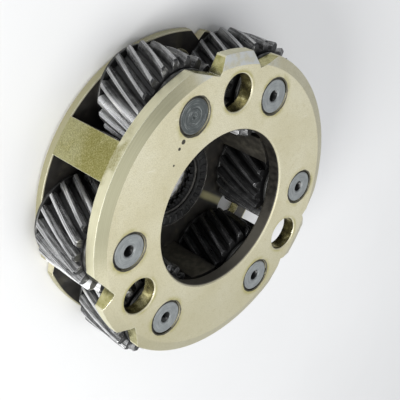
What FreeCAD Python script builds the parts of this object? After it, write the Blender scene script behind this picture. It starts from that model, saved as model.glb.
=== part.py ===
import FreeCAD, Part
import math
import os

# Planetary carrier assembly for a three-speed automatic gearbox, six helical planets.
# Millimetres. +Z is the carrier axis. The rear face is at Z = 0 and the front face looks
# up. Plain holes stand at -90, 30 and 150 degrees, and the webs halfway between them.

# ---- gearing ----
planet_teeth = 20
sun_teeth = 34
normal_module = 25.4 / 16.0
helix_angle = 22.5
pressure_angle = 17.5
addendum_factor = 1.05
dedendum_factor = 1.25
tooth_end_chamfer = 0.6
gear_w = 22.0

# ---- carrier ----
rim_r = 60.8
bore_r = 31.75
front_t = 5.8
window_h = 26.2
rear_t = 4.2
rim_chamfer_radial = 4.4
rim_chamfer_axial = 1.6
rear_chamfer_axial = 1.3
bore_chamfer = 0.7
web_half_width = 7.25
pocket_clearance = 1.25
plain_hole_r = 7.2
hole_chamfer = 0.35

# ---- front rim: a tab at each plain hole, with a V notch and a flat on both sides ----
notch_root = (10.5, 54.0)
tab_corner = (7.9, 58.9)
flat_end_angle = 21.5

# ---- rear rim: one V notch beside each plain hole ----
rear_notch_root = (10.5, 55.9)
rear_notch_near = (5.4, 60.8)
rear_notch_far = (14.3, 59.8)

# ---- hub ----
boss_r = 20.2
boss_h = 1.6
spline_teeth = 26
spline_minor_r = 13.0
spline_major_r = 14.0
hub_chamfer = 0.6
ring_groove_r = 14.9
ring_groove_z = 2.0
ring_groove_w = 1.3

# ---- planet pins, needles and thrust washers ----
pin_r = 7.14
pin_recess = 0.3
pin_chamfer = 0.8
oil_hole_r = 2.2
oil_hole_depth = 25.0
cross_hole_r = 1.0
needle_r = 1.0
needle_count = 25
needle_gap_inner = 0.02
needle_gap_outer = 0.04
needle_end_gap = 0.3
washer_inner_r = 7.25
front_washer_r = 15.0
rear_washer_r = 17.0
washer_t = 1.2

# ---- where each planet stands at rest: height of its rear face and extra turn ----
gear_rest_z = [5.6, 6.6, 7.1, 6.3, 6.3, 5.5]
gear_rest_turn = [1.0, 0.0, 6.0, 0.0, 0.0, 0.0]

# ---- thrust needle bearing on the hub boss ----
race_inner_r = 14.0
race_outer_r = 19.4
race_t = 0.8
race_lip_t = 0.5
race_lip_h = 2.3
roller_r = 0.98
roller_len = 3.0
roller_mid_r = 16.6
roller_count = 32
roller_gap = 0.02
cage_t = 1.1
cage_inner_r = 14.5
cage_outer_r = 18.6

# ---- derived sizes ----
total_h = rear_t + window_h + front_t
window_top = rear_t + window_h
beta = math.radians(helix_angle)
transverse_module = normal_module / math.cos(beta)
pitch_r = transverse_module * planet_teeth / 2.0
pin_circle_r = transverse_module * (planet_teeth + sun_teeth) / 2.0
tip_r = pitch_r + addendum_factor * normal_module
root_r = pitch_r - dedendum_factor * normal_module
needle_circle_r = pin_r + needle_gap_inner + needle_r
gear_bore_r = needle_circle_r + needle_r + needle_gap_outer
race_z = rear_t + boss_h
roller_z = race_z + race_t + roller_gap + roller_r

# Six planets share a sun and a ring whose teeth add up to 108, so the places where a
# planet can mesh are 360 / 108 degrees apart. Eight of those steps either side of a plain
# hole hold one planet.
mesh_step = 360.0 / (2.0 * (sun_teeth + planet_teeth))
half_pair_angle = 8.0 * mesh_step
hole_angles = [-90.0, 30.0, 150.0]
web_angles = [-30.0, 90.0, 210.0]
planet_angles = []
for hole_angle in hole_angles:
    planet_angles.append(hole_angle - half_pair_angle)
    planet_angles.append(hole_angle + half_pair_angle)
closed_end_planet = 2

up = FreeCAD.Vector(0, 0, 1)
origin = FreeCAD.Vector(0, 0, 0)


def polar(radius, degrees, z=0.0):
    a = math.radians(degrees)
    return FreeCAD.Vector(radius * math.cos(a), radius * math.sin(a), z)


def turned(shape, degrees):
    out = shape.copy()
    out.rotate(origin, up, degrees)
    return out


def moved(shape, place):
    out = shape.copy()
    out.translate(place)
    return out


def revolved(points):
    """A solid of revolution about Z from (radius, z) corners."""
    corners = [FreeCAD.Vector(r, 0, z) for r, z in points]
    wire = Part.makePolygon(corners + [corners[0]])
    return Part.Face(wire).revolve(origin, up, 360)


def cylinder(radius, z0, z1, place=origin):
    base = FreeCAD.Vector(place.x, place.y, z0)
    return Part.makeCylinder(radius, z1 - z0, base)


def prism(points, z0, z1):
    """An upright prism from (x, y) corners."""
    corners = [FreeCAD.Vector(x, y, z0) for x, y in points]
    wire = Part.makePolygon(corners + [corners[0]])
    return Part.Face(wire).extrude(FreeCAD.Vector(0, 0, z1 - z0))


def export(shape, node):
    shape.exportStep("parts/" + node + ".step")
    print(node, "solids", len(shape.Solids), "valid", shape.isValid(),
          "volume", round(shape.Volume, 1))


# ---------------------------------------------------------------- carrier

def carrier_blank():
    """Both discs, the solid between them and the hub boss, before the windows are cut."""
    flat_r = rim_r - rim_chamfer_radial
    return revolved([
        (0.0, 0.0), (flat_r, 0.0), (rim_r, rear_chamfer_axial),
        (rim_r, total_h - rim_chamfer_axial), (flat_r, total_h), (0.0, total_h)])


def web_prism(angle):
    """One web: parallel sides outside, hollowed by the pockets of its two planets."""
    web = prism([(-web_half_width, 0), (web_half_width, 0),
                 (web_half_width, rim_r + 10), (-web_half_width, rim_r + 10)],
                rear_t, window_top)
    web = turned(web, angle - 90.0)
    web = web.cut(cylinder(bore_r, rear_t, window_top))
    for planet_angle in planet_angles:
        place = polar(pin_circle_r, planet_angle)
        web = web.cut(cylinder(tip_r + pocket_clearance, rear_t, window_top, place))
    return web


def window_space():
    """Everything between the discs except the webs and the hub boss."""
    space = cylinder(rim_r + 5.0, rear_t, window_top)
    for angle in web_angles:
        space = space.cut(web_prism(angle))
    boss = revolved([(0, rear_t - 1.0), (boss_r + 0.5, rear_t - 1.0), (boss_r + 0.5, rear_t),
                     (boss_r, rear_t + 0.5), (boss_r, rear_t + boss_h), (0, rear_t + boss_h)])
    return space.cut(boss)


def chamfered_hole(radius, z0, z1, chamfer):
    """A drill with a countersink at both mouths of a plate from z0 to z1."""
    c = chamfer
    return revolved([
        (0, z0 - 1), (radius + c + 1, z0 - 1), (radius + c, z0), (radius, z0 + c),
        (radius, z1 - c), (radius + c, z1), (radius + c + 1, z1 + 1), (0, z1 + 1)])


def front_notch(side):
    """The cutter for one V notch and its flat. side is 1 or -1."""
    root_x, root_y = notch_root
    corner_x, corner_y = tab_corner
    reach = (rim_r + 10.0 - root_y) / (corner_y - root_y)
    tab_far_x = root_x + (corner_x - root_x) * reach
    flat = polar(rim_r, 90.0 - flat_end_angle)
    flat_reach = 1.35
    flat_far = (root_x + (flat.x - root_x) * flat_reach, root_y + (flat.y - root_y) * flat_reach)
    outline = [(root_x, root_y), flat_far, (flat_far[0], rim_r + 10.0),
               (tab_far_x, rim_r + 10.0)]
    outline = [(side * x, y) for x, y in outline]
    return prism(outline, window_top - 1.0, total_h + 1.0)


def rear_notch():
    """The cutter for the V notch in the rear rim."""
    root_x, root_y = rear_notch_root
    outline = [rear_notch_root]
    for x, y in (rear_notch_near, rear_notch_far):
        reach = (rim_r + 4.0 - root_y) / (y - root_y)
        outline.append((root_x + (x - root_x) * reach, rim_r + 4.0))
    return prism(outline, -1.0, rear_t + 1.0)


def spline_cutter():
    """The outline of the internal spline, as wide at the root as at the land."""
    outline = []
    step = 360.0 / spline_teeth
    for k in range(spline_teeth):
        for radius, part in ((spline_minor_r, -0.30), (spline_major_r, -0.22),
                             (spline_major_r, 0.22), (spline_minor_r, 0.30)):
            corner = polar(radius, (k + part) * step)
            outline.append((corner.x, corner.y))
    return prism(outline, -1.0, rear_t + boss_h + 1.0)


def hub_openings():
    """The plain core of the hub bore with its two chamfers and the ring groove."""
    top = rear_t + boss_h
    wide = spline_major_r + hub_chamfer
    core = revolved([
        (0, -1), (wide, -1), (wide, 0), (spline_minor_r, wide - spline_minor_r),
        (spline_minor_r, top - (wide - spline_minor_r)), (wide, top), (wide, top + 1),
        (0, top + 1)])
    groove = revolved([
        (0, ring_groove_z), (ring_groove_r, ring_groove_z),
        (ring_groove_r, ring_groove_z + ring_groove_w), (0, ring_groove_z + ring_groove_w)])
    return [core, groove, spline_cutter()]


def carrier():
    body = carrier_blank().cut(window_space())
    cutters = hub_openings()
    cutters.append(chamfered_hole(bore_r, window_top, total_h, bore_chamfer))
    for angle in hole_angles:
        cutters.append(turned(front_notch(1), angle - 90.0))
        cutters.append(turned(front_notch(-1), angle - 90.0))
        cutters.append(turned(rear_notch(), angle - 90.0))
    for z0, z1 in ((0.0, rear_t), (window_top, total_h)):
        plain = chamfered_hole(plain_hole_r, z0, z1, hole_chamfer)
        for angle in hole_angles:
            cutters.append(moved(plain, polar(pin_circle_r, angle)))
        pin_hole = chamfered_hole(pin_r, z0, z1, hole_chamfer)
        for angle in planet_angles:
            cutters.append(moved(pin_hole, polar(pin_circle_r, angle)))
    return body.cut(cutters)


# ---------------------------------------------------------------- planet gears

def flank_half_angle(radius):
    """Half of the tooth's angle at a radius: an involute above its base circle."""
    alpha_t = math.atan(math.tan(math.radians(pressure_angle)) / math.cos(beta))
    base_r = pitch_r * math.cos(alpha_t)
    alpha = math.acos(min(1.0, base_r / radius))
    half_at_pitch = math.pi / (2.0 * planet_teeth) - 0.0015
    return half_at_pitch + (math.tan(alpha_t) - alpha_t) - (math.tan(alpha) - alpha)


def tooth_section():
    """The closed outline of the gear in one plane, four edges to a tooth."""
    pitch = 2.0 * math.pi / planet_teeth
    edges = []
    height = tip_r - root_r
    shares = (0.05, 0.22, 0.45, 0.7, 1.0)
    radii = [root_r + height * share for share in shares]
    root_half = pitch / 2.0 - 0.020

    def point(radius, angle):
        return FreeCAD.Vector(radius * math.cos(angle), radius * math.sin(angle), 0)

    for k in range(planet_teeth):
        middle = k * pitch
        left = [point(root_r, middle - root_half)]
        right = [point(root_r, middle + root_half)]
        for radius in radii:
            spread = flank_half_angle(radius)
            if radius == radii[0]:
                spread += 0.013
            left.append(point(radius, middle - spread))
            right.append(point(radius, middle + spread))
        rising = Part.BSplineCurve()
        rising.interpolate(left)
        falling = Part.BSplineCurve()
        falling.interpolate(list(reversed(right)))
        tip = Part.Arc(left[-1], point(tip_r, middle), right[-1])
        next_start = point(root_r, middle + pitch - root_half)
        gap = Part.Arc(right[0], point(root_r, middle + pitch / 2.0), next_start)
        edges += [rising.toShape(), tip.toShape(), falling.toShape(), gap.toShape()]
    return Part.Wire(edges)


def planet_gear():
    """A right-hand helical gear standing on Z = 0, with chamfered tooth ends."""
    outline = tooth_section()
    levels = 5
    twist = math.degrees(gear_w * math.tan(beta) / pitch_r)
    sections = []
    for k in range(levels):
        share = k / (levels - 1.0)
        level = turned(outline, twist * share)
        level.translate(FreeCAD.Vector(0, 0, gear_w * share))
        sections.append(level)
    gear = Part.makeLoft(sections, True, False)
    c = tooth_end_chamfer
    envelope = revolved([
        (0, 0), (tip_r - c, 0), (tip_r + 0.05, c + 0.05), (tip_r + 0.05, gear_w - c - 0.05),
        (tip_r - c, gear_w), (0, gear_w)])
    return gear.common(envelope).cut(chamfered_hole(gear_bore_r, 0, gear_w, 0.5))


def mesh_turn(angle):
    """The turn that puts a planet in mesh with a sun that has a tooth on the X axis."""
    return angle + 180.0 + angle * sun_teeth / planet_teeth - 180.0 / planet_teeth


# ---------------------------------------------------------------- pins, needles, washers

def planet_pin(closed_front):
    """A hollow pin on Z. Its blind oil hole opens at the rear if closed_front is true."""
    length = total_h - 2.0 * pin_recess
    c = pin_chamfer
    hole = oil_hole_r
    body = revolved([
        (0, oil_hole_depth), (hole, oil_hole_depth - hole * 0.6), (hole, 0.4), (hole + 0.4, 0),
        (pin_r - c, 0), (pin_r, c), (pin_r, length - c), (pin_r - c, length),
        (3.4, length), (3.2, length - 0.15), (2.9, length - 0.15), (2.7, length),
        (0.9, length), (0, length - 0.7)])
    cross = Part.makeCylinder(cross_hole_r, 2.0 * pin_r, FreeCAD.Vector(0, 0, length / 2.0),
                              FreeCAD.Vector(1, 0, 0))
    body = body.cut(cross)
    if not closed_front:
        body.rotate(FreeCAD.Vector(0, 0, length / 2.0), FreeCAD.Vector(1, 0, 0), 180)
    return moved(body, FreeCAD.Vector(0, 0, pin_recess))


def needle_set():
    """The loose needles of a planet that stands on Z = 0, each with rounded ends."""
    z0 = needle_end_gap
    z1 = gear_w - needle_end_gap
    r = needle_r
    needle = revolved([(0, z0), (r - 0.3, z0), (r, z0 + 0.3), (r, z1 - 0.3), (r - 0.3, z1),
                       (0, z1)])
    needles = []
    for k in range(needle_count):
        needles.append(moved(needle, polar(needle_circle_r, k * 360.0 / needle_count)))
    return Part.makeCompound(needles)


def thrust_washer(outer_r, z0):
    c = 0.2
    z1 = z0 + washer_t
    return revolved([
        (washer_inner_r, z0), (outer_r - c, z0), (outer_r, z0 + c), (outer_r, z1 - c),
        (outer_r - c, z1), (washer_inner_r, z1)])


# ---------------------------------------------------------------- hub thrust bearing

def bearing_race():
    """A pressed steel race with a lip round its outside."""
    return revolved([
        (race_inner_r, race_z), (race_outer_r - 0.2, race_z), (race_outer_r, race_z + 0.2),
        (race_outer_r, race_z + race_lip_h), (race_outer_r - race_lip_t, race_z + race_lip_h),
        (race_outer_r - race_lip_t, race_z + race_t), (race_inner_r, race_z + race_t)])


def roller_at(angle, radius, extra):
    length = roller_len + 2.0 * extra
    start = polar(roller_mid_r - length / 2.0, angle, roller_z)
    return Part.makeCylinder(radius, length, start, polar(1.0, angle))


def bearing_rollers():
    rollers = []
    for k in range(roller_count):
        rollers.append(roller_at(k * 360.0 / roller_count, roller_r, 0.0))
    return Part.makeCompound(rollers)


def bearing_cage():
    """A flat ring with one slot for each roller."""
    z0 = roller_z - cage_t / 2.0
    z1 = roller_z + cage_t / 2.0
    ring = revolved([(cage_inner_r, z0), (cage_outer_r, z0), (cage_outer_r, z1),
                     (cage_inner_r, z1)])
    slots = []
    for k in range(roller_count):
        slots.append(roller_at(k * 360.0 / roller_count, roller_r + 0.06, 0.06))
    return ring.cut(slots)


# ---------------------------------------------------------------- build

def build():
    os.makedirs("parts", exist_ok=True)
    export(carrier(), "carrier_body")
    gear = planet_gear()
    needles = needle_set()
    rear_washer = thrust_washer(rear_washer_r, rear_t)
    front_washer = thrust_washer(front_washer_r, window_top - washer_t)
    for k, angle in enumerate(planet_angles):
        place = polar(pin_circle_r, angle)
        gear_place = polar(pin_circle_r, angle, gear_rest_z[k])
        number = str(k + 1)
        planet = turned(gear, mesh_turn(angle) + gear_rest_turn[k])
        export(moved(planet, gear_place), "planet_gear_" + number)
        pin = turned(planet_pin(k + 1 == closed_end_planet), angle)
        export(moved(pin, place), "planet_pin_" + number)
        export(moved(turned(needles, angle), gear_place), "needle_rollers_" + number)
        export(moved(rear_washer, place), "rear_thrust_washer_" + number)
        export(moved(front_washer, place), "front_thrust_washer_" + number)
    export(bearing_race(), "hub_bearing_race")
    export(bearing_cage(), "hub_bearing_cage")
    export(bearing_rollers(), "hub_bearing_rollers")
    print("pin circle", round(pin_circle_r, 3), "tip", round(tip_r, 3))


build()
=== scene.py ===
import math
import bpy
from mathutils import Matrix, Vector


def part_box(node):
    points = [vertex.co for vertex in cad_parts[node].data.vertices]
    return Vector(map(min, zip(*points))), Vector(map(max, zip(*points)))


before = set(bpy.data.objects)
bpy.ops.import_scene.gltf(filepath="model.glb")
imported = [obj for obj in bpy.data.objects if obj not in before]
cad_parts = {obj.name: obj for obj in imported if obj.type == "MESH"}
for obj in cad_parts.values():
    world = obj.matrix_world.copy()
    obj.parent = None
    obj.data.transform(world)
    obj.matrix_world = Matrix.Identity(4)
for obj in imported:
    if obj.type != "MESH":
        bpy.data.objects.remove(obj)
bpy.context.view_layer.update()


def planet_centre(k):
    """x and y of the axis of planet k, k from 1 to 6, from its pin's box."""
    low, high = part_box("planet_pin_%d" % k)
    return (low.x + high.x) / 2.0, (low.y + high.y) / 2.0


def planet_angle(k):
    """Where planet k stands on the carrier, in degrees."""
    x, y = planet_centre(k)
    return math.degrees(math.atan2(y, x))


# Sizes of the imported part, in metres, and places round its axis, in degrees. The carrier's
# rear face is at z = 0 and its front face looks up.
MM = 0.001
carrier_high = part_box("carrier_body")[1]
RIM_R = carrier_high.x
FRONT_FACE = carrier_high.z
HOLE_ANGLES = (-90.0, 30.0, 150.0)
PIN_CIRCLE = math.hypot(*planet_centre(1))
PAIR_HALF_ANGLE = planet_angle(2) - HOLE_ANGLES[0]
CHAMFER_INNER_R = 56.4 * MM
BORE_R = 31.75 * MM
BOSS_R = 20.2 * MM
SPLINE_R = 14.0 * MM
HOLE_R = 7.2 * MM
FRONT_DISC_INNER = 30.4 * MM
REAR_DISC_INNER = 4.2 * MM
BOSS_TOP = 5.8 * MM
PITCH_R = 17.183 * MM
TIP_R = 18.85 * MM
HELIX_TAN = 0.41421
CLOSED_PIN = 2


# ---------------------------------------------------------------- node helpers

class Nodes:
    """A material's node tree with short calls for the nodes used here."""

    def __init__(self, name):
        self.material = bpy.data.materials.new(name)
        self.material.use_nodes = True
        self.tree = self.material.node_tree
        self.bsdf = self.tree.nodes["Principled BSDF"]
        coordinates = self.tree.nodes.new("ShaderNodeTexCoord")
        self.place = coordinates.outputs["Object"]
        self.x, self.y, self.z = self.split(self.place)
        self.facing = self.split(coordinates.outputs["Normal"])[2]

    def link(self, source, socket):
        self.tree.links.new(source, socket)

    def feed(self, socket, value):
        if isinstance(value, bpy.types.NodeSocket):
            self.link(value, socket)
        elif isinstance(value, tuple):
            socket.default_value = (*value, 1.0)
        else:
            socket.default_value = value

    def split(self, vector):
        node = self.tree.nodes.new("ShaderNodeSeparateXYZ")
        self.link(vector, node.inputs[0])
        return node.outputs[0], node.outputs[1], node.outputs[2]

    def join(self, x, y, z):
        node = self.tree.nodes.new("ShaderNodeCombineXYZ")
        for socket, value in zip(node.inputs, (x, y, z)):
            self.feed(socket, value)
        return node.outputs[0]

    def math(self, operation, a, b=0.0):
        node = self.tree.nodes.new("ShaderNodeMath")
        node.operation = operation
        self.feed(node.inputs[0], a)
        self.feed(node.inputs[1], b)
        return node.outputs[0]

    def both(self, *masks):
        out = masks[0]
        for mask in masks[1:]:
            out = self.math("MULTIPLY", out, mask)
        return out

    def either(self, *masks):
        out = masks[0]
        for mask in masks[1:]:
            out = self.math("MAXIMUM", out, mask)
        return out

    def noise(self, scale, detail=4.0, rough=0.55, stretch=(1, 1, 1), at=None):
        mapping = self.tree.nodes.new("ShaderNodeMapping")
        mapping.inputs["Scale"].default_value = stretch
        self.link(self.place if at is None else at, mapping.inputs["Vector"])
        node = self.tree.nodes.new("ShaderNodeTexNoise")
        node.inputs["Scale"].default_value = scale
        node.inputs["Detail"].default_value = detail
        node.inputs["Roughness"].default_value = rough
        self.link(mapping.outputs[0], node.inputs["Vector"])
        return node.outputs["Fac"]

    def ramp(self, fac, stops):
        node = self.tree.nodes.new("ShaderNodeValToRGB")
        points = node.color_ramp.elements
        while len(points) < len(stops):
            points.new(0.5)
        for point, (position, colour) in zip(points, stops):
            point.position = position
            point.color = (*colour, 1.0)
        self.link(fac, node.inputs["Fac"])
        return node.outputs["Color"]

    def step(self, value, low, high, out_low=0.0, out_high=1.0):
        node = self.tree.nodes.new("ShaderNodeMapRange")
        node.interpolation_type = "SMOOTHSTEP"
        self.feed(node.inputs["Value"], value)
        node.inputs["From Min"].default_value = low
        node.inputs["From Max"].default_value = high
        node.inputs["To Min"].default_value = out_low
        node.inputs["To Max"].default_value = out_high
        return node.outputs["Result"]

    def above(self, value, edge, soft):
        return self.step(value, edge - soft, edge + soft)

    def below(self, value, edge, soft):
        return self.step(value, edge - soft, edge + soft, 1.0, 0.0)

    def between(self, value, low, high, soft):
        return self.both(self.above(value, low, soft), self.below(value, high, soft))

    def mix(self, fac, a, b):
        node = self.tree.nodes.new("ShaderNodeMix")
        node.data_type = "RGBA"
        self.feed(node.inputs["Factor"], fac)
        node_a = [s for s in node.inputs if s.name == "A" and s.type == "RGBA"][0]
        node_b = [s for s in node.inputs if s.name == "B" and s.type == "RGBA"][0]
        self.feed(node_a, a)
        self.feed(node_b, b)
        return [s for s in node.outputs if s.type == "RGBA"][0]

    def blend(self, fac, a, b):
        """A number that runs from a to b."""
        node = self.tree.nodes.new("ShaderNodeMix")
        node.data_type = "FLOAT"
        self.feed(node.inputs[0], fac)
        self.feed(node.inputs[2], a)
        self.feed(node.inputs[3], b)
        return node.outputs[0]

    def reach(self, x=0.0, y=0.0):
        """Distance from the upright axis through (x, y)."""
        dx = self.math("SUBTRACT", self.x, x)
        dy = self.math("SUBTRACT", self.y, y)
        return self.math("SQRT", self.math("ADD", self.math("MULTIPLY", dx, dx),
                                           self.math("MULTIPLY", dy, dy)))

    def bearing(self, x=0.0, y=0.0):
        """Angle about the upright axis through (x, y), in radians."""
        return self.math("ARCTAN2", self.math("SUBTRACT", self.y, y),
                         self.math("SUBTRACT", self.x, x))

    def toward(self, degrees, x=0.0, y=0.0):
        """1 on the side of the axis through (x, y) that looks this way, -1 on the far side."""
        return self.math("COSINE", self.math("SUBTRACT", self.bearing(x, y), math.radians(degrees)))

    def turned_lines(self, across, over, stretch):
        """Noise drawn out into lines round the carrier's axis."""
        place = self.join(across, over, self.math("MULTIPLY", self.bearing(), stretch))
        return self.noise(1.0, 3.0, 0.7, at=place)

    def third(self):
        """Angle from the nearest plain hole, in turns of 120 degrees, -0.5 to 0.5."""
        turns = self.math("MULTIPLY", self.bearing(), 3.0 / (2.0 * math.pi))
        from_hole = -HOLE_ANGLES[0] / 120.0
        whole_turns = 4.0
        share = self.math("FRACT", self.math("ADD", turns, from_hole + 0.5 + whole_turns))
        return self.math("SUBTRACT", share, 0.5)

    def reach_on_circle(self, turn, offset_degrees):
        """Distance from an axis on the pin circle, for an angle given by third()."""
        angle = self.math("SUBTRACT", self.math("MULTIPLY", turn, 2.0 * math.pi / 3.0),
                          math.radians(offset_degrees))
        r = self.reach()
        square = self.math("ADD", self.math("MULTIPLY", r, r), PIN_CIRCLE * PIN_CIRCLE)
        cross = self.math("MULTIPLY", self.math("MULTIPLY", r, 2.0 * PIN_CIRCLE),
                          self.math("COSINE", angle))
        return self.math("SQRT", self.math("MAXIMUM", self.math("SUBTRACT", square, cross), 0.0))

    def round_edges(self, radius):
        node = self.tree.nodes.new("ShaderNodeBevel")
        node.samples = 6
        node.inputs["Radius"].default_value = radius
        return node.outputs[0]

    def edge_mask(self, rounded, low=0.01, high=0.10):
        """One along edges, from how far the rounded normal leans off the face."""
        geometry = self.tree.nodes.new("ShaderNodeNewGeometry")
        dot = self.tree.nodes.new("ShaderNodeVectorMath")
        dot.operation = "DOT_PRODUCT"
        self.link(rounded, dot.inputs[0])
        self.link(geometry.outputs["True Normal"], dot.inputs[1])
        lean = self.math("SUBTRACT", 1.0, dot.outputs["Value"])
        return self.step(lean, low, high)

    def bump(self, height, distance, strength, base):
        node = self.tree.nodes.new("ShaderNodeBump")
        node.inputs["Distance"].default_value = distance
        node.inputs["Strength"].default_value = strength
        self.link(height, node.inputs["Height"])
        self.link(base, node.inputs["Normal"])
        return node.outputs[0]

    def finish(self, colour, metallic, rough, normal=None):
        self.feed(self.bsdf.inputs["Base Color"], colour)
        self.feed(self.bsdf.inputs["Metallic"], metallic)
        self.feed(self.bsdf.inputs["Roughness"], rough)
        if normal is not None:
            self.link(normal, self.bsdf.inputs["Normal"])
        return self.material


def paint(node_name, material):
    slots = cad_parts[node_name].data.materials
    slots.clear()
    slots.append(material)


# ---------------------------------------------------------------- carrier

# Scales of noise and of turned lines, in cells per metre.
CLOUD_SCALE = 38.0
BLOTCH_SCALE = 60.0
STAIN_SCALE = 120.0
SOOT_AND_SHADE_SCALE = 210.0
WEAR_SCALE = 260.0
SPECK_SCALE = 420.0
WEB_GRAIN_SCALE = 1900.0
GRAIN_SCALE = 2600.0
RIM_LINES = 3800.0
CHAMFER_LINES = 5200.0

# Colours, linear. A list is a ramp over noise.
COATING = [(0.30, (0.59, 0.545, 0.36)), (0.50, (0.66, 0.62, 0.44)), (0.70, (0.70, 0.665, 0.50))]
GOLD_SPECK = (0.52, 0.47, 0.27)
GRAIN = (0.44, 0.405, 0.25)
SCRATCH = (0.82, 0.80, 0.70)
SHADE = (0.34, 0.315, 0.19)
CHAMFER_OLIVE = [(0.3, (0.235, 0.225, 0.14)), (0.7, (0.295, 0.285, 0.19))]
BARE_STEEL = (0.66, 0.675, 0.65)
RIM_CREAM = [(0.3, (0.53, 0.505, 0.335)), (0.7, (0.64, 0.615, 0.44))]
REAR_RIM_SHADE = (0.27, 0.245, 0.12)
WEB_OLIVE = [(0.36, (0.15, 0.136, 0.038)), (0.50, (0.285, 0.268, 0.10)),
             (0.62, (0.39, 0.37, 0.165)), (0.75, (0.58, 0.56, 0.36))]
WEB_PALE = (0.42, 0.405, 0.24)
TARNISH = (0.20, 0.18, 0.035)
GOLD_WALL = [(0.35, (0.30, 0.28, 0.10)), (0.65, (0.52, 0.49, 0.26))]
NOTCH_SHADOW = (0.09, 0.082, 0.05)
GOLD_STAIN = (0.38, 0.345, 0.11)
PIN_GROOVE_SHADE = (0.055, 0.05, 0.04)
HOLE_BROWN_AND_HIGHLIGHT = [(0.38, (0.10, 0.085, 0.04)), (0.52, (0.34, 0.30, 0.12)), (0.62, (0.92, 0.85, 0.45))]
SOOT_AND_SHADE = [(0.30, (0.018, 0.017, 0.016)), (0.55, (0.034, 0.031, 0.026)), (0.75, (0.075, 0.066, 0.046))]
OIL_FILM_AND_SHADE = [(0.35, (0.014, 0.013, 0.011)), (0.65, (0.042, 0.038, 0.031))]
BORE_PAINTED_LIGHT = (0.16, 0.148, 0.12)
WEB_SIDE_DARK = (0.085, 0.078, 0.058)
WEB_SIDE_LIGHT = (0.15, 0.138, 0.105)
LIT_GOLD_STRIP = (0.36, 0.33, 0.16)
BOSS_LIP_HIGHLIGHT = (0.50, 0.465, 0.39)
SPLINE_SHADE = (0.009, 0.009, 0.009)
PIT = (0.05, 0.045, 0.03)
WORN_EDGE_AND_HIGHLIGHT = (0.92, 0.90, 0.74)

# The web beside which the chamfer is olive, in degrees, and small marks in the front face, as
# x, y and radius in millimetres.
OLIVE_WEB = -30.0
PITS = ((25.4, -33.2, 0.9), (27.0, -31.0, 0.6), (29.0, -25.3, 0.45))


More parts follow.
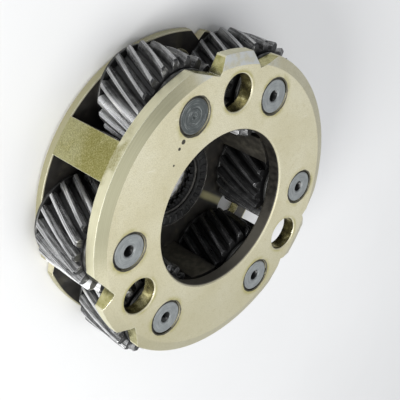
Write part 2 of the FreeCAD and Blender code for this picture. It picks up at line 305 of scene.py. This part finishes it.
class CarrierPaint(Nodes):
    """Machined steel under a thin pale gold coating, dark inside with oil and painted shade."""

    def __init__(self):
        super().__init__("carrier_gold_steel")
        self.r = self.reach()
        self.turn = self.third()
        self.aside = self.math("ABSOLUTE", self.turn)
        self.hole_reach = self.reach_on_circle(self.turn, 0.0)
        self.pin_reach = self.reach_on_circle(self.aside, PAIR_HALF_ANGLE)
        self.grain = self.noise(GRAIN_SCALE, 2.0, 0.6)
        self.speck = self.noise(SPECK_SCALE, 4.0, 0.65)
        self.web_grain = self.noise(WEB_GRAIN_SCALE, 4.0, 0.75)
        self.chamfer_lines = self.turned_lines(self.math("MULTIPLY", self.r, CHAMFER_LINES),
                                               self.math("MULTIPLY", self.z, CHAMFER_LINES), 2.5)
        self.find_outer_parts()
        self.find_inner_parts()

    def find_outer_parts(self):
        """Masks of the chamfer, the rim, the webs' outer faces, and the notch and hole walls."""
        self.upright = self.below(self.math("ABSOLUTE", self.facing), 0.3, 0.1)
        self.chamfer = self.both(self.between(self.facing, 0.86, 0.975, 0.01),
                                 self.above(self.r, CHAMFER_INNER_R - 0.2 * MM, 0.2 * MM),
                                 self.above(self.z, FRONT_DISC_INNER - 0.4 * MM, 0.1 * MM))
        self.outside = self.above(self.r, RIM_R - 0.4 * MM, 0.15 * MM)
        between_discs = self.between(self.z, REAR_DISC_INNER + 0.05 * MM,
                                     FRONT_DISC_INNER - 0.05 * MM, 0.05 * MM)
        self.rim = self.both(self.outside, self.math("SUBTRACT", 1.0, between_discs), self.upright)
        self.web = self.both(self.outside, between_discs)
        self.wall = self.both(self.upright, self.between(self.r, 50.0 * MM, RIM_R - 0.5 * MM, 0.1 * MM),
                              self.above(self.hole_reach, HOLE_R + 0.4 * MM, 0.1 * MM),
                              self.above(self.z, FRONT_DISC_INNER - 0.1 * MM, 0.1 * MM))
        self.hole = self.both(self.below(self.hole_reach, HOLE_R + 0.2 * MM, 0.05 * MM), self.upright)

    def find_inner_parts(self):
        """Masks of the space between the discs, the front bore, the hub, and all of these."""
        self.inside = self.both(self.below(self.r, RIM_R - 0.6 * MM, 0.12 * MM),
                                self.between(self.z, REAR_DISC_INNER - 0.1 * MM,
                                             FRONT_DISC_INNER + 0.1 * MM, 0.05 * MM))
        self.bore = self.both(self.below(self.r, BORE_R + 0.45 * MM, 0.08 * MM),
                              self.between(self.z, FRONT_DISC_INNER - 0.1 * MM,
                                           FRONT_FACE - 0.45 * MM, 0.06 * MM))
        self.hub = self.both(self.below(self.r, BOSS_R + 0.6 * MM, 0.1 * MM),
                             self.above(self.z, 0.4 * MM, 0.2 * MM),
                             self.below(self.z, BOSS_TOP + 1.2 * MM, 0.1 * MM))
        # Everything inside the drum, painted dark with oil and painted shade.
        self.dark = self.either(self.inside, self.bore, self.hub)

    def lay(self, mask, colour, strength=1.0):
        """Put a colour over what is painted so far, where the mask is 1."""
        if strength < 1.0:
            mask = self.math("MULTIPLY", mask, strength)
        self.colour = self.mix(mask, self.colour, colour)

    def paint_coating(self):
        """Cream with gold clouds, a fine grain and faint scratches, and painted shade on the upward
        faces towards +Y.
        """
        self.colour = self.ramp(self.noise(CLOUD_SCALE, 5.0, 0.6), COATING)
        self.lay(self.step(self.speck, 0.54, 0.74, 0.0, 0.45), GOLD_SPECK)
        self.lay(self.step(self.grain, 0.44, 0.60, 0.0, 0.42), GRAIN)
        long_lines = self.step(self.noise(55.0, 2.0, 0.5, (1, 9, 1)), 0.66, 0.74)
        broken = self.step(self.noise(160.0, 2.0, 0.5), 0.45, 0.6)
        self.lay(self.both(long_lines, broken), SCRATCH, 0.35)
        # Painted shade: the upward faces are darkened towards +Y.
        self.lay(self.both(self.step(self.y, 4.0 * MM, 46.0 * MM, 0.0, 0.36),
                           self.above(self.facing, 0.8, 0.05)), SHADE)

    def paint_chamfer(self):
        """Olive with turned lines beside one web, and worn bare near the tab at -90 degrees."""
        near_web = self.step(self.toward(OLIVE_WEB), 0.70, 0.94)
        self.lay(self.both(self.chamfer, near_web), self.ramp(self.chamfer_lines, CHAMFER_OLIVE))
        near_tab = self.step(self.aside, 0.10, 0.20, 1.0, 0.0)
        patchy = self.step(self.noise(WEAR_SCALE, 4.0, 0.6), 0.36, 0.58, 0.3, 1.0)
        self.lay(self.both(self.chamfer, near_tab, self.below(self.y, -36.0 * MM, 4.0 * MM), patchy),
                 BARE_STEEL)

    def paint_rim(self):
        lines = self.turned_lines(self.math("MULTIPLY", self.z, RIM_LINES), 0.0, 3.0)
        # Painted shade: the rear half of the rim is darkened.
        rear_half = self.below(self.z, 17.0 * MM, 1.0 * MM)
        self.lay(self.rim, self.mix(self.math("MULTIPLY", rear_half, 0.6),
                                    self.ramp(lines, RIM_CREAM), REAR_RIM_SHADE))

    def paint_webs(self):
        """Rough olive outer faces, paler at the rear, tarnished towards the front disc."""
        self.lay(self.web, self.ramp(self.web_grain, WEB_OLIVE))
        blotch = self.noise(BLOTCH_SCALE, 3.0, 0.6)
        self.lay(self.both(self.web, self.step(blotch, 0.42, 0.58),
                           self.below(self.z, 17.0 * MM, 5.0 * MM)), WEB_PALE, 0.4)
        tarnish = self.both(self.outside, self.above(self.aside, 0.40, 0.05),
                            self.step(blotch, 0.48, 0.60, 1.0, 0.0),
                            self.above(self.z, 15.0 * MM, 5.0 * MM),
                            self.below(self.z, 34.0 * MM, 1.5 * MM),
                            self.step(self.web_grain, 0.35, 0.6, 1.0, 0.45))
        self.lay(tarnish, TARNISH, 0.9)

    def paint_notch_walls(self):
        gold = self.ramp(self.speck, GOLD_WALL)
        deep = self.step(self.r, 54.3 * MM, 56.8 * MM, 0.75, 0.0)
        self.lay(self.wall, self.mix(deep, gold, NOTCH_SHADOW))

    def paint_stains(self):
        """Gold run-off round the pins and holes, and a ragged dark ring of painted shade in the groove
        round each pin.
        """
        patches = self.math("MULTIPLY", self.noise(STAIN_SCALE, 3.0, 0.6), 1.35)
        near_pin = self.both(self.step(self.pin_reach, 7.2 * MM, 9.9 * MM, 1.0, 0.0),
                             self.step(patches, 0.5, 0.85))
        near_hole = self.both(self.step(self.hole_reach, 7.3 * MM, 9.4 * MM, 1.0, 0.0),
                              self.step(patches, 0.45, 0.85))
        self.lay(self.both(self.either(near_pin, near_hole), self.above(self.facing, 0.9, 0.03)),
                 GOLD_STAIN, 0.9)
        # Painted shade: a dark ring in the groove round each pin.
        ragged = self.math("ADD", self.pin_reach, self.math("MULTIPLY", self.speck, 0.8 * MM))
        self.lay(self.both(self.below(ragged, 8.0 * MM, 0.14 * MM), self.above(self.facing, 0.3, 0.1)),
                 PIN_GROOVE_SHADE, 0.9)

    def paint_hole_walls(self):
        # Brown hole walls, with bright gold painted highlights at the top of the ramp.
        self.lay(self.hole, self.ramp(self.noise(180.0, 4.0, 0.6), HOLE_BROWN_AND_HIGHLIGHT))

    def paint_inside(self):
        """Sooty oil and painted shade inside the drum, painted light on one side of the bore, and what
        stands out from it.
        """
        # Oil and painted shade: the inside is painted nearly black.
        soot_and_shade = self.ramp(self.noise(SOOT_AND_SHADE_SCALE, 5.0, 0.65), SOOT_AND_SHADE)
        # Painted light: the bore wall is painted lighter towards +Y.
        bore_light_and_shade = self.mix(self.step(self.y, 0.0, 28.0 * MM), self.ramp(self.speck, OIL_FILM_AND_SHADE), BORE_PAINTED_LIGHT)
        soot_and_shade = self.mix(self.bore, soot_and_shade, bore_light_and_shade)
        web_side = self.both(self.inside, self.upright, self.above(self.aside, 0.42, 0.05),
                             self.above(self.r, 30.0 * MM, 1.0 * MM),
                             self.step(self.y, -20.0 * MM, 10.0 * MM, 0.2, 1.0))
        soot_and_shade = self.mix(web_side, soot_and_shade, self.mix(self.step(self.speck, 0.4, 0.6),
                                                 WEB_SIDE_DARK, WEB_SIDE_LIGHT))
        # Painted light: a lit strip of the gold coating on the rear disc.
        soot_and_shade = self.mix(self.lit_gold_strip(), soot_and_shade, LIT_GOLD_STRIP)
        # Painted highlight: a bright arc along the lip of the hub boss.
        lip = self.both(self.hub, self.between(self.r, BOSS_R - 0.75 * MM, BOSS_R + 0.2 * MM, 0.15 * MM))
        soot_and_shade = self.mix(lip, soot_and_shade, BOSS_LIP_HIGHLIGHT)
        # Painted shade: the spline in the hub is painted nearly black.
        spline = self.both(self.hub, self.below(self.r, SPLINE_R + 0.3 * MM, 0.1 * MM))
        soot_and_shade = self.mix(spline, soot_and_shade, SPLINE_SHADE)
        self.lay(self.dark, soot_and_shade)

    def lit_gold_strip(self):
        """A painted pool of light on the rear disc, where the gold coating shows between the two planets
        of each pair.
        """
        angle = self.math("MULTIPLY", self.turn, 2.0 * math.pi / 3.0)
        off_line = self.math("ABSOLUTE", self.math("MULTIPLY", self.r, self.math("SINE", angle)))
        return self.both(self.inside, self.above(self.facing, 0.9, 0.05),
                         self.above(self.r, 24.0 * MM, 5.0 * MM),
                         self.below(off_line, 1.5 * MM, 0.9 * MM),
                         self.step(self.r, 45.0 * MM, 51.0 * MM, 0.9, 0.05))

    def paint_pits(self):
        for x, y, radius in PITS:
            ragged = self.math("ADD", self.reach(x * MM, y * MM),
                               self.math("MULTIPLY", self.speck, 0.5 * MM))
            pit = self.below(ragged, radius * MM + 0.25 * MM, 0.12 * MM)
            self.lay(self.both(pit, self.above(self.facing, 0.9, 0.03)), PIT)

    def paint_edges(self, rounded):
        """Bright wear and painted highlight along the edges, but not inside or round the pins."""
        # Wear and painted highlight: a bright line along the edges.
        self.lay(self.both(self.edge_mask(rounded), self.step(self.speck, 0.35, 0.55, 0.35, 1.0),
                           self.math("SUBTRACT", 1.0, self.dark),
                           self.above(self.pin_reach, 8.2 * MM, 0.2 * MM)), WORN_EDGE_AND_HIGHLIGHT, 0.75)

    def roughness(self):
        rough = self.blend(self.chamfer, self.step(self.speck, 0.2, 0.8, 0.40, 0.54), 0.38)
        rough = self.blend(self.web, rough, self.step(self.web_grain, 0.3, 0.7, 0.62, 0.44))
        rough = self.blend(self.either(self.hole, self.wall), rough, 0.27)
        return self.blend(self.dark, rough, self.step(self.speck, 0.3, 0.7, 0.34, 0.5))

    def height(self):
        height = self.math("ADD", self.math("MULTIPLY", self.grain, 0.35),
                           self.math("MULTIPLY", self.speck, 0.65))
        height = self.blend(self.web, height, self.math("MULTIPLY", self.web_grain, 7.0))
        return self.blend(self.either(self.chamfer, self.rim), height,
                          self.math("MULTIPLY", self.chamfer_lines, 0.5))

    def build(self):
        self.paint_coating()
        self.paint_chamfer()
        self.paint_rim()
        self.paint_webs()
        self.paint_notch_walls()
        self.paint_stains()
        self.paint_hole_walls()
        self.paint_inside()
        self.paint_pits()
        rounded = self.round_edges(0.4 * MM)
        self.paint_edges(rounded)
        metallic = self.blend(self.dark, self.blend(self.either(self.hole, self.wall), 0.45, 0.85), 0.3)
        return self.finish(self.colour, metallic, self.roughness(),
                           self.bump(self.height(), 0.03 * MM, 0.9, rounded))


# ---------------------------------------------------------------- gears and pins

# How much painted highlight the lands and flanks of each gear get, from 0 to 1.
GEAR_SHINE = {1: 0.42, 2: 0.40, 3: 0.7, 4: 0.9, 5: 0.3, 6: 0.3}
OILY_SHADED_GEARS = (5, 6)
# The side of a gear given a painted highlight: its middle, in degrees on from the carrier's
# radius, and its half width.
LIT_SIDE = {2: (84.0, 34.0), 3: (66.0, 44.0)}

FLANK = [(0.3, (0.05, 0.05, 0.049)), (0.52, (0.12, 0.12, 0.118)), (0.72, (0.30, 0.30, 0.295))]
FLANK_STREAK = (0.82, 0.82, 0.82)
LAND = [(0.42, (0.09, 0.09, 0.093)), (0.48, (0.26, 0.26, 0.26)), (0.54, (0.98, 0.98, 0.98))]
UNLIT_LAND = (0.10, 0.10, 0.10)
GEAR_OIL_AND_SHADE = (0.012, 0.012, 0.013)
SIDE_HIGHLIGHT = (0.97, 0.97, 0.97)
TOOTH_END = (0.03, 0.03, 0.03)
ROOT_OIL_AND_SHADE = (0.010, 0.010, 0.010)
TOOTH_EDGE_HIGHLIGHT = (0.85, 0.85, 0.84)


def tooth_streaks(n, x, y):
    """Noise drawn out along the helical teeth of the gear on the axis through (x, y)."""
    along = n.math("SUBTRACT", n.bearing(x, y), n.math("MULTIPLY", n.z, HELIX_TAN / PITCH_R))
    place = n.join(n.math("MULTIPLY", n.math("COSINE", along), 34.0),
                   n.math("MULTIPLY", n.math("SINE", along), 34.0),
                   n.math("MULTIPLY", n.z, 30.0))
    return n.noise(1.6, 6.0, 0.8, at=place)


def lit_side_highlight(n, k, streak):
    # Painted highlight on one side of the gear, as if lit from there.
    middle, half_width = LIT_SIDE[k]
    near = n.step(n.toward(planet_angle(k) + middle, *planet_centre(k)),
                  math.cos(math.radians(half_width)), math.cos(math.radians(0.5 * half_width)))
    return n.both(near, n.step(streak, 0.38, 0.50, 0.30, 1.0))


def tooth_colour(n, k, land, streak, patch):
    """Flanks and lands, with the painted highlight that makes this gear brighter or darker than the
    others.
    """
    shine = GEAR_SHINE[k]
    # Painted highlight: bright streaks on flanks and lands, as strong as the gear's shine.
    flank = n.mix(n.step(streak, 0.49, 0.57, 0.0, 0.9 * shine), n.ramp(patch, FLANK), FLANK_STREAK)
    colour = n.mix(land, flank, n.mix(shine, UNLIT_LAND, n.ramp(streak, LAND)))
    # Oil and painted shade darken the gears deep in the drum.
    if k in OILY_SHADED_GEARS:
        colour = n.mix(0.7, colour, GEAR_OIL_AND_SHADE)
    # Painted highlight on one side of this gear.
    if k in LIT_SIDE:
        colour = n.mix(lit_side_highlight(n, k, streak), colour, SIDE_HIGHLIGHT)
    return colour


def gear_material(k):
    """Dark hardened steel with ground lands, bright wear streaks with painted highlight, and oily roots
    with painted shade.
    """
    n = Nodes("gear_dark_steel_%d" % k)
    x, y = planet_centre(k)
    r = n.reach(x, y)
    streak = tooth_streaks(n, x, y)
    patch = n.noise(240.0, 5.0, 0.65)
    land = n.above(r, TIP_R - 0.16 * MM, 0.05 * MM)
    colour = tooth_colour(n, k, land, streak, patch)
    tooth_end = n.step(n.math("ABSOLUTE", n.facing), 0.42, 0.62)
    colour = n.mix(n.both(tooth_end, n.step(patch, 0.52, 0.62, 0.85, 0.0)), colour, TOOTH_END)
    # Oil and painted shade in the roots between the teeth.
    root = n.step(r, 15.0 * MM, 16.9 * MM, 1.0, 0.0)
    colour = n.mix(root, colour, ROOT_OIL_AND_SHADE)
    rounded = n.round_edges(0.28 * MM)
    # Painted highlight: bright glints along the tooth edges.
    edge = n.both(n.edge_mask(rounded, 0.03, 0.18), n.step(patch, 0.40, 0.6, 0.1, 1.0),
                  n.above(r, 17.2 * MM, 0.4 * MM))
    colour = n.mix(n.math("MULTIPLY", edge, 0.7), colour, TOOTH_EDGE_HIGHLIGHT)
    rough = n.blend(land, n.step(patch, 0.3, 0.7, 0.24, 0.40), n.step(streak, 0.3, 0.7, 0.34, 0.20))
    rough = n.blend(root, rough, 0.5)
    metallic = n.blend(root, n.blend(land, 0.6, 0.7), 0.3)
    return n.finish(colour, metallic, rough, n.bump(streak, 0.05 * MM, 0.6, rounded))


# Pin ends: the dull and the plain grey of an open pin and of the closed one, and how strongly
# the turned rings show on each.
OPEN_PIN_GREY = ((0.22, 0.235, 0.235), (0.285, 0.305, 0.30))
CLOSED_PIN_GREY = ((0.055, 0.064, 0.063), (0.080, 0.092, 0.090))
OPEN_PIN_RINGS = 0.25
CLOSED_PIN_RINGS = 0.32
LIGHT_RING = (0.42, 0.44, 0.43)
DARK_RING = (0.05, 0.055, 0.055)
PIN_CHAMFER_SHADE = [(0.35, (0.03, 0.03, 0.028)), (0.7, (0.14, 0.135, 0.12))]
OIL_HOLE_SHADE_AND_GLINT = [(0.54, (0.02, 0.02, 0.02)), (0.64, (0.42, 0.42, 0.41))]
PIN_EDGE_HIGHLIGHT = (0.62, 0.64, 0.62)


def pin_material(k):
    """Satin grey end face with turned rings, a dark chamfer of painted shade, a shaded oil hole with
    painted glints and a painted highlight on the edge.
    """
    n = Nodes("pin_grey_steel_%d" % k)
    x, y = planet_centre(k)
    r = n.reach(x, y)
    closed = k == CLOSED_PIN
    dull, grey = CLOSED_PIN_GREY if closed else OPEN_PIN_GREY
    strength = CLOSED_PIN_RINGS if closed else OPEN_PIN_RINGS
    patch = n.noise(330.0, 5.0, 0.65)
    rings = n.noise(1.0, 2.0, 0.6, at=n.join(n.math("MULTIPLY", r, 2600.0), 0.0,
                                             n.math("MULTIPLY", n.bearing(x, y), 0.8)))
    colour = n.mix(n.step(patch, 0.35, 0.7), dull, grey)
    colour = n.mix(n.step(rings, 0.52, 0.66, 0.0, strength), colour, LIGHT_RING)
    colour = n.mix(n.step(rings, 0.36, 0.46, strength, 0.0), colour, DARK_RING)
    # Painted shade on the pin's chamfer.
    colour = n.mix(n.above(r, 6.42 * MM, 0.10 * MM), colour, n.ramp(patch, PIN_CHAMFER_SHADE))
    oil_hole = n.both(n.below(r, 2.5 * MM, 0.1 * MM),
                      n.below(n.math("ABSOLUTE", n.facing), 0.6, 0.2))
    # Painted shade deep in the oil hole, with painted glints.
    colour = n.mix(n.math("MULTIPLY", oil_hole, 0.9), colour, n.ramp(patch, OIL_HOLE_SHADE_AND_GLINT))
    rounded = n.round_edges(0.2 * MM)
    edge = n.both(n.edge_mask(rounded, 0.02, 0.15), n.below(r, 6.6 * MM, 0.1 * MM))
    # Painted highlight along the pin's edge.
    colour = n.mix(n.math("MULTIPLY", edge, 0.5), colour, PIN_EDGE_HIGHLIGHT)
    rough = n.step(patch, 0.3, 0.7, 0.42, 0.55)
    return n.finish(colour, 0.35, rough, n.bump(rings, 0.015 * MM, 0.6, rounded))


def dark_steel(name, low, high, shine, metallic, rough):
    """Dark steel for the parts inside the drum, partly oil and partly painted shade, with lighter worn
    spots and a painted highlight along the edges.
    """
    n = Nodes(name)
    patch = n.noise(300.0, 5.0, 0.65)
    colour = n.ramp(patch, [(0.32, low), (0.58, high), (0.78, shine)])
    rounded = n.round_edges(0.15 * MM)
    edge = n.math("MULTIPLY", n.edge_mask(rounded, 0.02, 0.2), 0.6)
    # Painted highlight: the shine colour along the edges.
    colour = n.mix(edge, colour, shine)
    return n.finish(colour, metallic, n.step(patch, 0.3, 0.7, rough - 0.07, rough + 0.07),
                    n.bump(patch, 0.01 * MM, 0.5, rounded))


def paint_all():
    paint("carrier_body", CarrierPaint().build())
    washer = dark_steel("washer_steel", (0.04, 0.04, 0.038), (0.09, 0.09, 0.086),
                        (0.26, 0.26, 0.25), 0.7, 0.42)
    roller = dark_steel("roller_steel", (0.06, 0.06, 0.06), (0.13, 0.13, 0.13),
                        (0.30, 0.30, 0.30), 0.9, 0.30)
    # Painted shade: the hub's rollers are painted nearly black.
    hub_roller = dark_steel("hub_roller_steel", (0.008, 0.008, 0.008), (0.016, 0.016, 0.016),
                            (0.03, 0.03, 0.03), 0.2, 0.55)
    race = dark_steel("bearing_race_steel", (0.05, 0.048, 0.044), (0.12, 0.115, 0.105),
                      (0.40, 0.38, 0.34), 0.7, 0.34)
    # Painted shade: the hub's cage is painted nearly black.
    cage = dark_steel("bearing_cage_steel", (0.014, 0.014, 0.014), (0.03, 0.03, 0.029),
                      (0.07, 0.07, 0.065), 0.4, 0.42)
    for k in range(1, 7):
        paint("planet_gear_%d" % k, gear_material(k))
        paint("planet_pin_%d" % k, pin_material(k))
        paint("needle_rollers_%d" % k, roller)
        paint("front_thrust_washer_%d" % k, washer)
        paint("rear_thrust_washer_%d" % k, washer)
    paint("hub_bearing_race", race)
    paint("hub_bearing_cage", cage)
    paint("hub_bearing_rollers", hub_roller)


# ---------------------------------------------------------------- camera, floor, light

CAMERA_AIM = Vector((0.01404, -0.00806, 0.0362))
CAMERA_DISTANCE = 0.28405
CAMERA_AZIMUTH = 56.243
CAMERA_ELEVATION = 37.229
CAMERA_ROLL = -118.254
CAMERA_LENS = 70.62
FLOOR_SIZE = 6.0
LIGHT_AIM = Vector((0, 0, 0.02))
SKY_COLOUR = (0.90, 0.93, 1.0)
SKY_STRENGTH = 0.35


def camera_axes():
    """Right, up and backward directions of the camera."""
    azimuth = math.radians(CAMERA_AZIMUTH)
    elevation = math.radians(CAMERA_ELEVATION)
    back = Vector((math.sin(azimuth) * math.cos(elevation),
                   -math.cos(azimuth) * math.cos(elevation), math.sin(elevation)))
    level = Vector((0, 0, 1)).cross(back).normalized()
    upright = back.cross(level)
    roll = Matrix.Rotation(math.radians(-CAMERA_ROLL), 3, back)
    return roll @ level, roll @ upright, back


def make_camera():
    right, upward, back = camera_axes()
    data = bpy.data.cameras.new("camera")
    data.lens = CAMERA_LENS
    data.sensor_width = 36.0
    data.clip_start = 0.01
    camera = bpy.data.objects.new("camera", data)
    bpy.context.scene.collection.objects.link(camera)
    turn = Matrix((right, upward, back)).transposed()
    camera.matrix_world = Matrix.Translation(CAMERA_AIM + back * CAMERA_DISTANCE) @ turn.to_4x4()
    bpy.context.scene.camera = camera


def make_floor():
    mesh = bpy.data.meshes.new("floor")
    half = FLOOR_SIZE / 2.0
    mesh.from_pydata([(-half, -half, 0), (half, -half, 0), (half, half, 0), (-half, half, 0)],
                     [], [(0, 1, 2, 3)])
    floor = bpy.data.objects.new("floor", mesh)
    bpy.context.scene.collection.objects.link(floor)
    n = Nodes("floor_pale")
    colour = n.ramp(n.noise(6.0), [(0.3, (0.80, 0.80, 0.79)), (0.7, (0.84, 0.84, 0.83))])
    mesh.materials.append(n.finish(colour, 0.0, 0.8))


def area_light(name, direction, distance, size, power):
    """A round light that shines on the middle of the part from a direction."""
    data = bpy.data.lights.new(name, "AREA")
    data.shape = "DISK"
    data.size = size
    data.energy = power
    light = bpy.data.objects.new(name, data)
    bpy.context.scene.collection.objects.link(light)
    light.location = LIGHT_AIM + direction.normalized() * distance
    light.rotation_euler = direction.to_track_quat("Z", "Y").to_euler()


def make_lights():
    right, upward, back = camera_axes()
    area_light("key", right * 0.85 - upward * 0.46 - back * 0.1, distance=0.9, size=0.8, power=0.8)
    area_light("low", Vector((0.9, 0.2, 0.40)), distance=0.8, size=0.30, power=5.6)
    area_light("top", Vector((0.1, 0.15, 1.0)), distance=1.0, size=0.9, power=5.2)
    world = bpy.data.worlds.new("world")
    bpy.context.scene.world = world
    world.use_nodes = True
    shade = world.node_tree.nodes["Background"]
    shade.inputs["Color"].default_value = (*SKY_COLOUR, 1.0)
    shade.inputs["Strength"].default_value = SKY_STRENGTH
    bpy.context.scene.view_settings.view_transform = "Standard"


make_camera()
make_floor()
make_lights()
paint_all()
